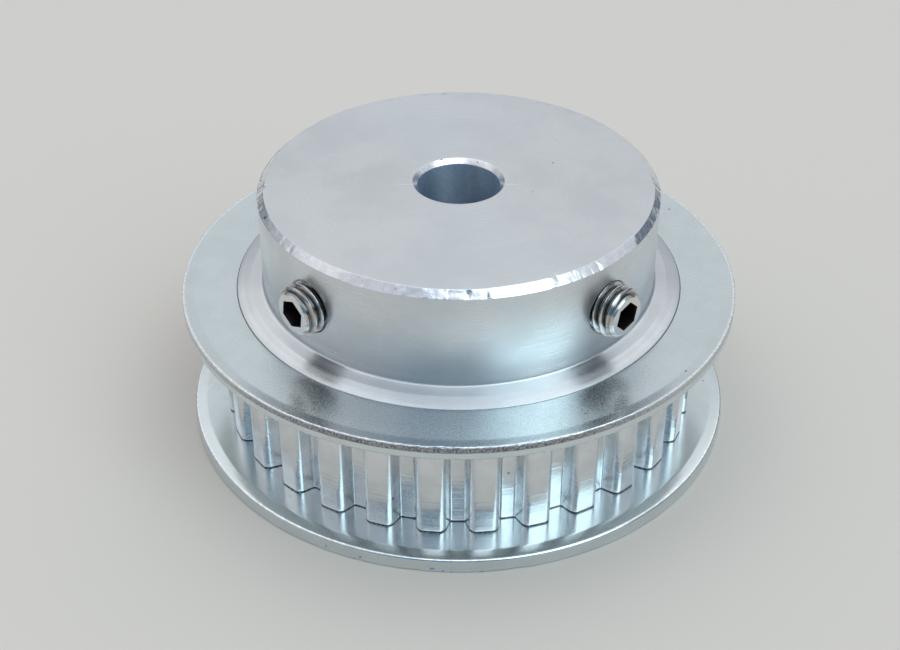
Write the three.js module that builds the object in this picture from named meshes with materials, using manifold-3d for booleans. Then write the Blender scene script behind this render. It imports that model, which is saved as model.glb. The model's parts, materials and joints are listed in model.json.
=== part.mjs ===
// Flanged timing belt pulley with a hub, an 8 mm bore and two radial set screws.
//
// Units are millimetres. The pulley stands on its lower flange: the origin is on the shaft
// axis at the base, and +Z runs along the shaft axis out of the hub. A groove of the toothed
// rim faces -Y, and the two set screws stand 45 degrees to its left and right.

import * as THREE from 'three';
import { mergeVertices } from 'three/addons/utils/BufferGeometryUtils.js';
import Module from 'manifold-3d';

const wasm = await Module();
wasm.setup();

// ---- Driving dimensions ----------------------------------------------------------------

const DEGREE = Math.PI / 180;
const ROUND_SEGMENTS = 60;          // facets round the pulley, two for each tooth

const TEETH = 30;
const BELT_PITCH = 5.08;            // one fifth of an inch
const PITCH_LINE_OFFSET = 0.254;    // the belt's cords run this far outside the tooth tips
const GROOVE_DEPTH = 1.65;
const GROOVE_FLOOR_WIDTH = 1.36;
const GROOVE_HALF_ANGLE = 20 * DEGREE;
const TIP_RADIUS = 0.8;             // rounding of a tooth's outer corners
const ROOT_RADIUS = 0.25;           // rounding at the bottom of a groove

const BELT_FACE_WIDTH = 11.55;      // between the two flanges
const SHEET_THICKNESS = 1.45;       // flange steel
const FLANGE_DIAMETER = 54.9;
const FLANGE_BEND_WIDTH = 1.2;      // outer band of a flange, bent away from the belt
const FLANGE_BEND_RISE = 0.2;

const HUB_DIAMETER = 38.8;
const HUB_LENGTH = 10.65;           // from the upper flange's flat to the hub's end face
const HUB_CHAMFER = 0.55;
const BORE_DIAMETER = 8;
const BORE_CHAMFER = 0.45;

const SEAT_DIAMETER = 44.1;         // the turned seats that the flanges are pressed onto
const SEAT_GAP = 0.08;              // clearance of a flange round its seat
const FACE_GAP = 0.05;              // clearance of a flange against the ends of the teeth
const LIP_WIDTH = 1.35;             // the rim of each seat, rolled outward over its flange
const LIP_HEIGHT = 0.05;            // how far a lip's outer edge stands over its flange's flat
const UPPER_LIP_RISE = 0.45;        // height of the upper lip's inner edge over the flange's flat
const COLLAR_RISE = 0.62;           // height of the collar at the foot of the hub
const RELIEF_WIDTH = 0.6;           // shallow ring that the rolling tool leaves in the base
const RELIEF_DEPTH = 0.2;

const SCREW_DIAMETER = 5;           // M5 by 0.8
const SCREW_LENGTH = 8;
const LEFT_SCREW_PROUD = 1.8;       // how far each screw stands out of the hub
const RIGHT_SCREW_PROUD = 2.1;
const SCREW_END_CHAMFER = 0.45;
const SCREW_CUP_RADIUS = 1.3;
const SCREW_CUP_DEPTH = 0.6;
const SCREW_CUP_RIM = 0.1;
const SCREW_BELOW_HUB_FACE = 5.3;   // screw axis to the hub's end face
const SCREW_ANGLE = 45 * DEGREE;    // each side of -Y
const HEX_ACROSS_FLATS = 2.5;
const HEX_DEPTH = 2.6;
const LEFT_HEX_TURN = -8 * DEGREE;  // where each screw's socket happens to have stopped turning
const RIGHT_HEX_TURN = -14 * DEGREE;
const HOLE_DIAMETER = 5.3;          // the tapped hole, clear of the screw's thread crests
const HOLE_MOUTH_DIAMETER = 5.7;
const SCREW_SEGMENTS = 24;

// ---- Levels and radii worked out from them -----------------------------------------------

const TIP_DIAMETER = TEETH * BELT_PITCH / Math.PI - 2 * PITCH_LINE_OFFSET;
const TIP_CIRCLE = TIP_DIAMETER / 2;
const ROOT_CIRCLE = TIP_CIRCLE - GROOVE_DEPTH;
const SEAT_RADIUS = SEAT_DIAMETER / 2;
const HUB_RADIUS = HUB_DIAMETER / 2;
const BORE_RADIUS = BORE_DIAMETER / 2;

const LOWER_FLAT_BOTTOM = FLANGE_BEND_RISE;
const TEETH_BOTTOM = LOWER_FLAT_BOTTOM + SHEET_THICKNESS;
const TEETH_TOP = TEETH_BOTTOM + BELT_FACE_WIDTH;
const UPPER_FLAT_TOP = TEETH_TOP + SHEET_THICKNESS;
const HEIGHT = UPPER_FLAT_TOP + HUB_LENGTH;
const SCREW_LEVEL = HEIGHT - SCREW_BELOW_HUB_FACE;

// ---- Materials ---------------------------------------------------------------------------

const turnedAluminium = new THREE.MeshStandardMaterial({ color: 0xc8ccd0, roughness: 0.34, metalness: 1 });
const zincPlatedSteel = new THREE.MeshStandardMaterial({ color: 0xb4c2c4, roughness: 0.26, metalness: 1 });
const nickelPlatedSteel = new THREE.MeshStandardMaterial({ color: 0xa9a7a4, roughness: 0.22, metalness: 1 });

// ---- Helpers -----------------------------------------------------------------------------

// Turns a closed geometry into a solid for joining and cutting.
function solidOf(geometry) {
  const bare = geometry.clone();
  bare.deleteAttribute('normal');
  bare.deleteAttribute('uv');
  const merged = mergeVertices(bare, 1e-4);
  const index = merged.index.array;
  const triangles = [];
  for (let i = 0; i < index.length; i += 3) {
    const [a, b, c] = [index[i], index[i + 1], index[i + 2]];
    if (a !== b && b !== c && c !== a) triangles.push(a, b, c);
  }
  return new wasm.Manifold(new wasm.Mesh({
    numProp: 3,
    vertProperties: Float32Array.from(merged.attributes.position.array),
    triVerts: Uint32Array.from(triangles),
  }));
}

// Turns a solid back into a geometry.
function geometryOf(solid) {
  const mesh = solid.getMesh();
  const geometry = new THREE.BufferGeometry();
  geometry.setAttribute('position', new THREE.BufferAttribute(Float32Array.from(mesh.vertProperties), 3));
  geometry.setIndex(Array.from(mesh.triVerts));
  geometry.computeVertexNormals();
  return geometry;
}

// Revolves a closed outline of [radius, height] pairs about Z. It runs anticlockwise, seen
// with the radius to the right and the height up. Facet edges start at -Y.
function turned(outline, segments) {
  const loop = [...outline, outline[0]].map(([radius, height]) => new THREE.Vector2(radius, height));
  return new THREE.LatheGeometry(loop, segments).rotateX(Math.PI / 2);
}

function namedMesh(name, geometry, material) {
  const mesh = new THREE.Mesh(geometry, material);
  mesh.name = name;
  return mesh;
}

// ---- Toothed rim ---------------------------------------------------------------------------

// One side of a groove as points across the groove and along its radius, from the floor to
// the tip circle. Both corners are cut once across their rounding.
function grooveSide() {
  const floorHalf = GROOVE_FLOOR_WIDTH / 2;
  const along = [Math.sin(GROOVE_HALF_ANGLE), Math.cos(GROOVE_HALF_ANGLE)];
  const turn = (90 * DEGREE - GROOVE_HALF_ANGLE) / 2;
  const rootTangent = ROOT_RADIUS * Math.tan(turn);
  const tipTangent = TIP_RADIUS * Math.tan(turn);
  const flankLength = GROOVE_DEPTH / along[1];
  return [
    [floorHalf - rootTangent, ROOT_CIRCLE],
    [floorHalf + along[0] * rootTangent, ROOT_CIRCLE + along[1] * rootTangent],
    [floorHalf + along[0] * (flankLength - tipTangent), ROOT_CIRCLE + along[1] * (flankLength - tipTangent)],
    [floorHalf + along[0] * flankLength + tipTangent, TIP_CIRCLE],
  ];
}

// The rim's outline, with a groove centred on -Y and the middle of each land as a point. The
// hole keeps the rim a ring that overlaps the turned core.
function rimShape() {
  const side = grooveSide().map(([across, radius]) => [Math.atan2(across, radius), Math.hypot(across, radius)]);
  side[side.length - 1][1] = TIP_CIRCLE;
  const left = side.map(([angle, radius]) => [-angle, radius]).reverse();
  const pitchAngle = 2 * Math.PI / TEETH;
  const oneTooth = [...left, ...side, [pitchAngle / 2, TIP_CIRCLE]];
  const points = [];
  for (let tooth = 0; tooth < TEETH; tooth += 1) {
    for (const [angle, radius] of oneTooth) {
      const around = angle + tooth * pitchAngle - Math.PI / 2;
      points.push(new THREE.Vector2(radius * Math.cos(around), radius * Math.sin(around)));
    }
  }
  const shape = new THREE.Shape(points);
  shape.holes.push(new THREE.Path().absarc(0, 0, HUB_RADIUS, 0, 2 * Math.PI, true));
  return shape;
}

function toothedRim() {
  const depth = BELT_FACE_WIDTH - 2 * FACE_GAP;
  const rim = new THREE.ExtrudeGeometry(rimShape(), { depth, bevelEnabled: false, curveSegments: 24 });
  return rim.translate(0, 0, TEETH_BOTTOM + FACE_GAP);
}

// ---- Pulley body: hub, flange seats and bore, turned from one bar ---------------------------

function turnedCore() {
  const lipInner = SEAT_RADIUS - LIP_WIDTH;
  const reliefInner = lipInner - RELIEF_WIDTH;
  return turned([
    [BORE_RADIUS, BORE_CHAMFER],
    [BORE_RADIUS + BORE_CHAMFER, 0],
    [reliefInner, 0],
    [reliefInner + RELIEF_WIDTH / 2, RELIEF_DEPTH],
    [lipInner, 0],
    [SEAT_RADIUS, LOWER_FLAT_BOTTOM - LIP_HEIGHT],
    [SEAT_RADIUS, UPPER_FLAT_TOP + LIP_HEIGHT],
    [lipInner, UPPER_FLAT_TOP + UPPER_LIP_RISE],
    [HUB_RADIUS, UPPER_FLAT_TOP + COLLAR_RISE],
    [HUB_RADIUS, HEIGHT - HUB_CHAMFER],
    [HUB_RADIUS - HUB_CHAMFER, HEIGHT],
    [BORE_RADIUS + BORE_CHAMFER, HEIGHT],
    [BORE_RADIUS, HEIGHT - BORE_CHAMFER],
  ], ROUND_SEGMENTS);
}

// Lays something made along Z onto a screw axis: its Z points outward from the shaft axis,
// at an angle round from -Y, at the screws' level.
function onScrewAxis(geometry, angle) {
  return geometry.rotateX(Math.PI / 2).rotateZ(angle).translate(0, 0, SCREW_LEVEL);
}

// The cutter for one tapped hole: a round bar from inside the bore to past the hub, wider
// at the mouth.
function holeCutter(angle) {
  const radius = HOLE_DIAMETER / 2;
  const mouth = HOLE_MOUTH_DIAMETER / 2;
  const past = 1;
  const cutter = turned([
    [0, 0],
    [radius, 0],
    [radius, HUB_RADIUS - (mouth - radius)],
    [mouth + past, HUB_RADIUS + past],
    [0, HUB_RADIUS + past],
  ], SCREW_SEGMENTS);
  return onScrewAxis(cutter, angle);
}

function pulleyBody() {
  return geometryOf(
    solidOf(turnedCore())
      .add(solidOf(toothedRim()))
      .subtract(solidOf(holeCutter(-SCREW_ANGLE)))
      .subtract(solidOf(holeCutter(SCREW_ANGLE))),
  );
}

// ---- Flanges -------------------------------------------------------------------------------

// A pressed ring lying on z = 0, whose outer band bends down by the bend's rise.
function flange() {
  const inner = SEAT_RADIUS + SEAT_GAP;
  const outer = FLANGE_DIAMETER / 2;
  const bend = outer - FLANGE_BEND_WIDTH;
  const edge = 0.15;
  return turned([
    [inner, 0],
    [bend, 0],
    [outer - edge, -FLANGE_BEND_RISE],
    [outer, edge - FLANGE_BEND_RISE],
    [outer, SHEET_THICKNESS - FLANGE_BEND_RISE - edge],
    [outer - edge, SHEET_THICKNESS - FLANGE_BEND_RISE],
    [bend, SHEET_THICKNESS],
    [inner, SHEET_THICKNESS],
  ], ROUND_SEGMENTS);
}

// ---- Set screws ----------------------------------------------------------------------------

// One hex-socket set screw along Z, from its cup point to its socket end.
function setScrew(hexTurn, proud) {
  const radius = SCREW_DIAMETER / 2;
  const tip = HUB_RADIUS + proud - SCREW_LENGTH;
  const end = tip + SCREW_LENGTH;
  const pointChamfer = radius - SCREW_CUP_RADIUS - SCREW_CUP_RIM;
  const shank = turned([
    [0, tip + SCREW_CUP_DEPTH],
    [SCREW_CUP_RADIUS, tip],
    [SCREW_CUP_RADIUS + SCREW_CUP_RIM, tip],
    [radius, tip + pointChamfer],
    [radius, end - SCREW_END_CHAMFER],
    [radius - SCREW_END_CHAMFER, end],
    [0, end],
  ], SCREW_SEGMENTS);
  const past = 1;
  const cornerRadius = HEX_ACROSS_FLATS / 2 / Math.cos(30 * DEGREE);
  const key = new THREE.CylinderGeometry(cornerRadius, cornerRadius, HEX_DEPTH + past, 6);
  key.rotateX(Math.PI / 2).rotateZ(hexTurn).translate(0, 0, end + (past - HEX_DEPTH) / 2);
  return geometryOf(solidOf(shank).subtract(solidOf(key)));
}

// ---- Assembly ------------------------------------------------------------------------------

const pulley = new THREE.Group();
pulley.add(namedMesh('pulley_body', pulleyBody(), turnedAluminium));

const lowerFlange = namedMesh('lower_flange', flange(), zincPlatedSteel);
lowerFlange.position.z = LOWER_FLAT_BOTTOM;
pulley.add(lowerFlange);

const upperFlange = namedMesh('upper_flange', flange(), zincPlatedSteel);
upperFlange.rotation.x = Math.PI;
upperFlange.position.z = UPPER_FLAT_TOP;
pulley.add(upperFlange);

const leftScrew = onScrewAxis(setScrew(LEFT_HEX_TURN, LEFT_SCREW_PROUD), -SCREW_ANGLE);
const rightScrew = onScrewAxis(setScrew(RIGHT_HEX_TURN, RIGHT_SCREW_PROUD), SCREW_ANGLE);
pulley.add(namedMesh('left_set_screw', leftScrew, nickelPlatedSteel));
pulley.add(namedMesh('right_set_screw', rightScrew, nickelPlatedSteel));

export default pulley;
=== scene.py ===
# %% [markdown]
# # A timing belt pulley, one piece at a time
#
# A timing belt pulley is mostly turned work. A lathe makes the hub, the seats for the two
# flanges and the bore from one bar of aluminium. A hob then cuts the teeth. Each flange is a
# ring pressed from steel sheet and plated with zinc. Two short set screws clamp the pulley to
# its shaft.
#
# The sizes of these pieces are already settled in the CAD frame. This lesson builds a finer
# mesh for every piece, in the same place, and gives each one its own finish.

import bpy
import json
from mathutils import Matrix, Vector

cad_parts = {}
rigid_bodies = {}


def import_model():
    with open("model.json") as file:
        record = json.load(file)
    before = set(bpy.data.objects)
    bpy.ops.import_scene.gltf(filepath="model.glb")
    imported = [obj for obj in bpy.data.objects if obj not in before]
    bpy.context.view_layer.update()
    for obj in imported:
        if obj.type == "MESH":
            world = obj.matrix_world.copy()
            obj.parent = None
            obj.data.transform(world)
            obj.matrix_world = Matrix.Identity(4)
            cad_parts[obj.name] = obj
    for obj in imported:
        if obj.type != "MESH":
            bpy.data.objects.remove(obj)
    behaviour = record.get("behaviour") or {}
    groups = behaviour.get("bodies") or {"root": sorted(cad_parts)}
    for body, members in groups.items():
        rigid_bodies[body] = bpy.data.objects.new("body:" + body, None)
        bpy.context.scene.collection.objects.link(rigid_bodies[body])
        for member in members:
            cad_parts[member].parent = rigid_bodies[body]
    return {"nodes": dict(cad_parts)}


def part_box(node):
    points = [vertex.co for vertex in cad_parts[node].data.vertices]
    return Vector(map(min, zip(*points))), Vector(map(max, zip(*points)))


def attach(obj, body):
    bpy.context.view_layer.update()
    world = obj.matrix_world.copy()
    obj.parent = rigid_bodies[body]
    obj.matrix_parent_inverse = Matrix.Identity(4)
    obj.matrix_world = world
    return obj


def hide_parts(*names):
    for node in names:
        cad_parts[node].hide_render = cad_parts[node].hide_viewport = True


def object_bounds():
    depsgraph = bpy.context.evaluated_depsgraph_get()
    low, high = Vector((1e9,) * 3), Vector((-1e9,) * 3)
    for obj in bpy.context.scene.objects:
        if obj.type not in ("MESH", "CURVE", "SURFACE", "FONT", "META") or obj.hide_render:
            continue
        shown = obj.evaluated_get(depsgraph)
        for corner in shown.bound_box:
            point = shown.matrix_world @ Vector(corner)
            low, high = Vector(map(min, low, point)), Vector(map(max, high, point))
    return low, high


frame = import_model()
cad_box = [list(corner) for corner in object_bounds()]

import json
import math
import random

import bmesh
import bpy
import numpy as np
from mathutils import Matrix, Vector, noise

MM = 0.001
print("CAD nodes:", sorted(frame["nodes"]))

# %% [markdown]
# ## Sizes
#
# The large sizes are read from the frame, so the meshes can't drift away from it. What a box
# can't tell, such as the depth of a tooth or the pitch of a thread, is named here once, in
# millimetres, because machine drawings are in millimetres.

# %% Sizes from the frame, in millimetres
height = cad_box[1][2] / MM
flange_radius = cad_box[1][0] / MM
tip_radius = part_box("pulley_body")[1].x / MM
lower_flat_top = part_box("lower_flange")[1].z / MM
upper_flat_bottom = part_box("upper_flange")[0].z / MM
screw_low, screw_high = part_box("left_set_screw")
screw_level = (screw_low.z + screw_high.z) / 2 / MM

TEETH = 30
GROOVE_DEPTH = 1.65
GROOVE_FLOOR = 1.36
GROOVE_SIDE = math.radians(20)
SHEET = 1.45
BEND_WIDTH = 1.2
BEND_RISE = 0.2
SEAT_RADIUS = 22.05
HUB_RADIUS = 19.4
HUB_CHAMFER = 0.55
BORE_RADIUS = 4.0
BORE_CHAMFER = 0.45
LIP_INNER = SEAT_RADIUS - 1.35

lower_flat_bottom = lower_flat_top - SHEET
upper_flat_top = upper_flat_bottom + SHEET
print(f"pulley {2 * flange_radius:.1f} mm across and {height:.1f} mm high, "
      f"teeth from {lower_flat_top:.2f} to {upper_flat_bottom:.2f} mm")

# %% [markdown]
# ## Camera and floor
#
# The camera comes first, so that every later step can be judged through it. It stands as a
# person's eye does over a table, looking down about 35 degrees, with a fairly long lens.
# The floor is one plain pale sheet. Bright metal shows little of itself and mostly mirrors
# what is around it, so the floor's colour matters as much as the metal's.

# %% Camera
CAMERA_AZIMUTH = math.radians(0.43)
CAMERA_ELEVATION = math.radians(35.43)
CAMERA_ROLL = math.radians(-0.09)
CAMERA_DISTANCE = 154.26
CAMERA_LENS = 60.0
AIM_LEFT_OF_AXIS = 0.86
AIM_BELOW_TOP = 17.1


def add_camera():
    """A camera on a ball round a point a little left of the shaft axis, below the hub's face."""
    back = Vector((math.sin(CAMERA_AZIMUTH) * math.cos(CAMERA_ELEVATION),
                   -math.cos(CAMERA_AZIMUTH) * math.cos(CAMERA_ELEVATION),
                   math.sin(CAMERA_ELEVATION)))
    right = Vector((math.cos(CAMERA_AZIMUTH), math.sin(CAMERA_AZIMUTH), 0))
    target = right * -AIM_LEFT_OF_AXIS + Vector((0, 0, height - AIM_BELOW_TOP))
    data = bpy.data.cameras.new("camera")
    data.lens = CAMERA_LENS
    data.clip_start, data.clip_end = 0.005, 20
    camera = bpy.data.objects.new("camera", data)
    camera.location = (target + back * CAMERA_DISTANCE) * MM
    facing = back.to_track_quat("Z", "Y").to_matrix()
    camera.rotation_euler = (facing @ Matrix.Rotation(CAMERA_ROLL, 3, "Z")).to_euler()
    bpy.context.scene.collection.objects.link(camera)
    bpy.context.scene.camera = camera
    bpy.context.scene.view_settings.view_transform = "Standard"


add_camera()
print(f"camera {CAMERA_DISTANCE:.0f} mm away, looking down {math.degrees(CAMERA_ELEVATION):.0f} degrees")

# %% Floor
FLOOR_HALF_METRES = 2.0
FLOOR_COLOUR = (0.72, 0.66, 0.595)
FLOOR_ROUGHNESS = 0.6


def plain_material(name, colour, roughness):
    """One even colour, for what isn't part of the object."""
    material = bpy.data.materials.new(name)
    material.use_nodes = True
    shader = material.node_tree.nodes["Principled BSDF"]
    shader.inputs["Base Color"].default_value = (*colour, 1)
    shader.inputs["Roughness"].default_value = roughness
    return material


def add_floor():
    half = FLOOR_HALF_METRES
    mesh = bpy.data.meshes.new("floor")
    corners = [(-half, -half, 0), (half, -half, 0), (half, half, 0), (-half, half, 0)]
    mesh.from_pydata(corners, [], [(0, 1, 2, 3)])
    floor = bpy.data.objects.new("floor", mesh)
    mesh.materials.append(plain_material("pale_floor", FLOOR_COLOUR, FLOOR_ROUGHNESS))
    bpy.context.scene.collection.objects.link(floor)


add_floor()
print(f"floor {2 * FLOOR_HALF_METRES:.0f} m across")

# %% [markdown]
# ## Light
#
# Bright metal needs something large and soft to mirror, so the light is a world of broad
# panels without hard lamp edges: a pale ceiling, a cool window in front on the right, pale walls
# behind the object and on both sides of it, and a dim blue room behind the camera. The dim side
# matters as much as the bright ones, because metal that mirrors only white looks like plaster.
# Each panel is a round patch of the sky that fades out softly, and the world adds them all up.

# %% Studio world

PANELS = [
    # azimuth from the front towards the right, elevation, full within, gone beyond (degrees),
    # colour, strength
    (0, 88, 14, 42, (0.90, 0.99, 1.07), 0.62),     # ceiling
    (47, 42, 15, 27, (0.78, 0.95, 1.00), 2.00),    # window
    (2, 60, 8, 18, (1.00, 0.99, 1.00), 0.95),      # ceiling lamp above the camera
    (0, 28, 20, 50, (0.28, 0.72, 1.10), 0.12),     # room behind the camera
    (180, 44, 12, 54, (1.00, 0.98, 0.95), 0.60),   # wall behind the object
    (-68, 42, 14, 42, (1.00, 0.95, 0.95), 0.46),   # left wall
    (-118, 40, 16, 42, (1.00, 0.98, 0.96), 0.36),  # left wall, further back
    (112, 46, 14, 38, (0.96, 0.98, 1.00), 0.54),   # right wall
]
AMBIENT = (0.115, 0.152, 0.195)


def facing(azimuth, elevation):
    """A unit vector. Azimuth 0 is the front, where the camera is, and 90 is the right."""
    turn, tilt = math.radians(azimuth), math.radians(elevation)
    return Vector((math.sin(turn) * math.cos(tilt), -math.cos(turn) * math.cos(tilt), math.sin(tilt)))


def add_node(tree, kind, inputs=None, **settings):
    """Adds a node, sets its options, and fills its sockets from values or other sockets."""
    made = tree.nodes.new(kind)
    for name, value in settings.items():
        setattr(made, name, value)
    for name, value in (inputs or {}).items():
        if isinstance(value, bpy.types.NodeSocket):
            tree.links.new(value, made.inputs[name])
        else:
            made.inputs[name].default_value = value
    return made


def build_world():
    """Adds every panel's colour to the ambient one, by how near a direction is to its middle."""
    world = bpy.data.worlds.new("studio")
    bpy.context.scene.world = world
    world.use_nodes = True
    tree = world.node_tree
    direction = add_node(tree, "ShaderNodeTexCoord").outputs["Generated"]
    total = None
    for azimuth, elevation, full, gone, colour, strength in PANELS:
        dot = add_node(tree, "ShaderNodeVectorMath", {0: direction, 1: facing(azimuth, elevation)},
                       operation="DOT_PRODUCT")
        fade = add_node(tree, "ShaderNodeMapRange", {
            "Value": dot.outputs["Value"],
            "From Min": math.cos(math.radians(gone)),
            "From Max": math.cos(math.radians(full)),
            "To Max": strength,
        }, interpolation_type="SMOOTHSTEP")
        glow = add_node(tree, "ShaderNodeVectorMath", {0: colour, "Scale": fade.outputs["Result"]},
                        operation="SCALE")
        total = add_node(tree, "ShaderNodeVectorMath", {
            0: glow.outputs["Vector"],
            1: AMBIENT if total is None else total.outputs["Vector"],
        })
    tree.links.new(total.outputs["Vector"], tree.nodes["Background"].inputs["Color"])
    print(f"studio world with {len(PANELS)} panels")


build_world()

# %% [markdown]
# ## Outlines with rounded corners
#
# Every turned or pressed piece here starts as an outline of radius and height. A real corner
# is never perfectly sharp, and it is the small radius that catches the light, so each corner
# carries its own rounding. One helper turns the corners into short arcs.

# %% Rounded outlines


def rounded(corners, steps=4):
    """Replaces each (x, y, rounding) corner of a closed outline by a short arc of points."""
    points = []
    for i, (x, y, rounding) in enumerate(corners):
        here = Vector((x, y))
        if rounding == 0:
            points.append(here)
            continue
        before = Vector(corners[i - 1][:2]) - here
        after = Vector(corners[(i + 1) % len(corners)][:2]) - here
        inner = before.angle(after)
        middle = (before.normalized() + after.normalized()).normalized()
        centre = here + middle * (rounding / math.sin(inner / 2))
        reach = rounding / math.tan(inner / 2)
        start = here + before.normalized() * reach - centre
        turn = start.angle_signed(here + after.normalized() * reach - centre)
        for step in range(steps + 1):
            angle = -turn * step / steps
            spoke = Vector((start.x * math.cos(angle) - start.y * math.sin(angle),
                            start.x * math.sin(angle) + start.y * math.cos(angle)))
            points.append(centre + spoke)
    return points


def divided(points, longest):
    """Splits the long sides of a closed outline, so that no side is longer than given."""
    result = []
    for i, here in enumerate(points):
        after = points[(i + 1) % len(points)]
        pieces = max(1, math.ceil((after - here).length / longest))
        result += [here.lerp(after, k / pieces) for k in range(pieces)]
    return result


square = rounded([(0, 0, 0.1), (0, 1, 0.1), (1, 1, 0.1), (1, 0, 0.1)])
print(f"a square of four corners becomes {len(square)} points once they are rounded")

# %% [markdown]
# ## Skins wound round the axis
#
# A turned piece is a stack of rings. Each point of the outline becomes one ring, and quads
# join each ring to the next and the last to the first. The rings of a toothed rim follow the
# tooth outline in place of a circle, and the same weave of quads still closes the skin.

# %% Ring skins


def ring_mesh(name, rings):
    """Joins a closed loop of rings, an array of rings by points by xyz in millimetres."""
    rows, columns = rings.shape[:2]
    row = np.arange(rows)[:, None]
    column = np.arange(columns)[None, :]
    here = row * columns + column
    right = row * columns + (column + 1) % columns
    above = (row + 1) % rows * columns + column
    above_right = (row + 1) % rows * columns + (column + 1) % columns
    quads = np.stack([here, right, above_right, above], axis=-1).reshape(-1, 4)
    mesh = bpy.data.meshes.new(name)
    mesh.from_pydata((rings.reshape(-1, 3) * MM).tolist(), [], quads.tolist())
    mesh.update()
    return mesh


def circle_rings(outline, angles):
    """One circle for each point of the outline. Angle 0 faces the front, -Y."""
    radius = np.array([point.x for point in outline])[:, None]
    level = np.array([point.y for point in outline])[:, None]
    return np.stack([radius * np.sin(angles), -radius * np.cos(angles),
                     level + 0 * angles], axis=-1)


def add_object(name, mesh):
    piece = bpy.data.objects.new(name, mesh)
    bpy.context.scene.collection.objects.link(piece)
    return piece


def apply_modifiers(piece):
    """Keeps the mesh as its modifiers leave it, and drops them."""
    graph = bpy.context.evaluated_depsgraph_get()
    finished = bpy.data.meshes.new_from_object(piece.evaluated_get(graph))
    piece.modifiers.clear()
    piece.data = finished


def combine(piece, other, operation):
    """Cuts the piece with another closed mesh, or joins or crosses the two."""
    modifier = piece.modifiers.new("combine", "BOOLEAN")
    modifier.operation = operation
    modifier.solver = "MANIFOLD"
    modifier.object = other
    apply_modifiers(piece)
    bpy.data.objects.remove(other)


def smooth_shaded(piece, sharp_from=28):
    """Smooth shading that stays crisp at real edges and flat on the machined faces."""
    piece.data.shade_smooth()
    piece.data.set_sharp_from_angle(angle=math.radians(sharp_from))
    weighted = piece.modifiers.new("flat_faces_stay_flat", "WEIGHTED_NORMAL")
    weighted.keep_sharp = True


# %% [markdown]
# ## The tooth outline
#
# A belt tooth is a trapezium with rounded corners, so the groove for it has a flat floor, two
# straight sides and small radii. Half a groove is drawn once, from the middle of the floor to
# the middle of the land, then mirrored and repeated thirty times. The angles of its points are
# used for every other ring of the body as well, and that keeps the quads in straight columns.

# %% Tooth outline
TIP_ROUNDING = 0.9
ROOT_ROUNDING = 0.25


def half_groove():
    """(angle, radius) points from the middle of the groove's floor to the middle of the land."""
    root_radius = tip_radius - GROOVE_DEPTH
    half_floor = GROOVE_FLOOR / 2
    half_mouth = half_floor + GROOVE_DEPTH * math.tan(GROOVE_SIDE)
    half_pitch = math.pi / TEETH
    land = (tip_radius * math.sin(half_pitch) + 0.01, tip_radius - 0.02, 0)
    corners = [(0, root_radius, 0), (half_floor, root_radius, ROOT_ROUNDING),
               (half_mouth, tip_radius, TIP_ROUNDING), land, (0, 0, 0)]
    points = rounded(corners, steps=7)[:-2]
    polar = [(math.atan2(p.x, p.y), min(p.length, tip_radius)) for p in points]
    last = polar[-1][0]
    spaces = 3
    polar += [(last + (half_pitch - last) * k / spaces, tip_radius) for k in range(1, spaces + 1)]
    return polar


def tooth_ring():
    """The whole rim's outline as arrays of angles and radii."""
    half = half_groove()
    groove = [(-angle, radius) for angle, radius in reversed(half[1:])] + half[:-1]
    pitch = 2 * math.pi / TEETH
    angles = [angle + k * pitch for k in range(TEETH) for angle, radius in groove]
    radii = [radius for k in range(TEETH) for angle, radius in groove]
    return np.array(angles), np.array(radii)


angles, tooth_radii = tooth_ring()
print(f"{len(angles)} columns round the body, {len(angles) // TEETH} for each tooth")

# %% [markdown]
# ## A worn edge
#
# The hub's chamfer is the edge that a hand file and every later knock have met. It isn't one
# even cone: short facets follow each other round the rim, some wider and steeper than others,
# with small dents between them. Modelling it as geometry, and not as a bump, lets the outline
# of the edge waver too. A table of facets is drawn from a seeded generator, so it is the same
# every time, and each point of the chamfer is moved by it.

# %% Worn chamfer
FACETS = 26
DENTS = 40
FACET_BLEND = 0.006
DENT_SPREAD = 0.45
DENT_SLANT = 0.7
FILE_DEPTH = 0.018
RAGGED = 0.05


def wear_tables():
    """Facets as rows of (start angle, lower edge drop, upper edge retreat), and the dents."""
    draw = random.Random(30)
    starts = sorted(draw.uniform(0, 2 * math.pi) for _ in range(FACETS))
    facets = [(start, draw.uniform(0.0, 0.22), draw.uniform(0.0, 0.2)) for start in starts]
    dents = [(draw.uniform(0, 2 * math.pi), draw.uniform(0.005, 0.016), draw.uniform(0.0, 1.0),
              draw.uniform(0.03, 0.11)) for _ in range(DENTS)]
    return facets, dents


def wear_at(angle, tables):
    """How far the lower edge drops and the upper edge retreats at an angle, in millimetres."""
    facets = tables[0]
    drops = []
    for column in (1, 2):
        knots, values = [], []
        for i, facet in enumerate(facets):
            knots += [facet[0] - FACET_BLEND, facet[0] + FACET_BLEND]
            values += [facets[i - 1][column], facet[column]]
        drops.append(np.interp(angle, knots, values, period=2 * math.pi))
    return drops


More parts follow.
